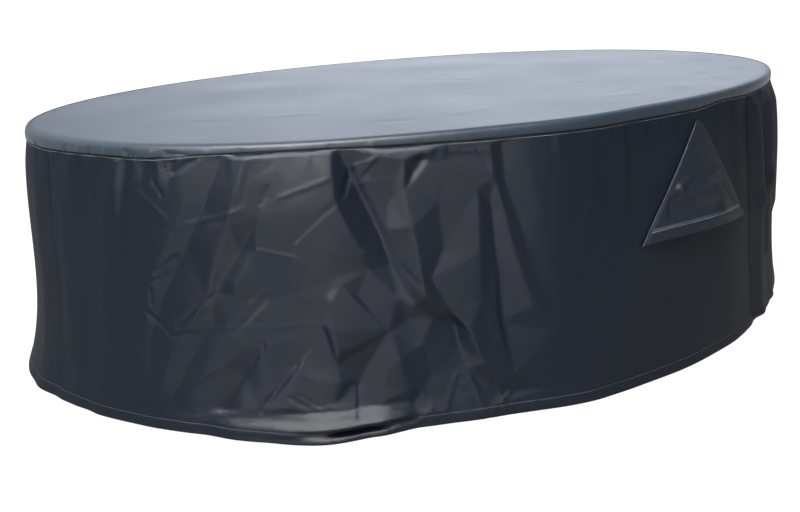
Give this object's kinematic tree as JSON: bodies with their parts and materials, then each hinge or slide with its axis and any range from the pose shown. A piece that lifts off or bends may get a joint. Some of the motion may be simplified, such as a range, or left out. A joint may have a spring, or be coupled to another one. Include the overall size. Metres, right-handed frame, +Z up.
{
  "type": "patio furniture cover",
  "caption": "Fitted oval cover for a garden table: an oval top panel, an edge band, a gathered skirt with a turned hem and a hooded vent.",
  "frame": {"origin": "under the middle of the top panel, where the cover rests on the table it fits", "axes": "+X along the oval's long side, +Z up; -Y is the side with the vent hood"},
  "size_m": [2.4754, 1.9042, 0.6779],
  "materials": {
    "top_cloth": "coated woven polyester, satin",
    "band_cloth": "coated woven polyester, satin",
    "skirt_cloth": "coated woven polyester, satin",
    "hood_cloth": "coated woven polyester, satin"
  },
  "bodies": {
    "root": {"top_panel": "top_cloth", "edge_band": "band_cloth", "skirt": "skirt_cloth", "vent_hood": "hood_cloth"}
  },
  "joints": []
}
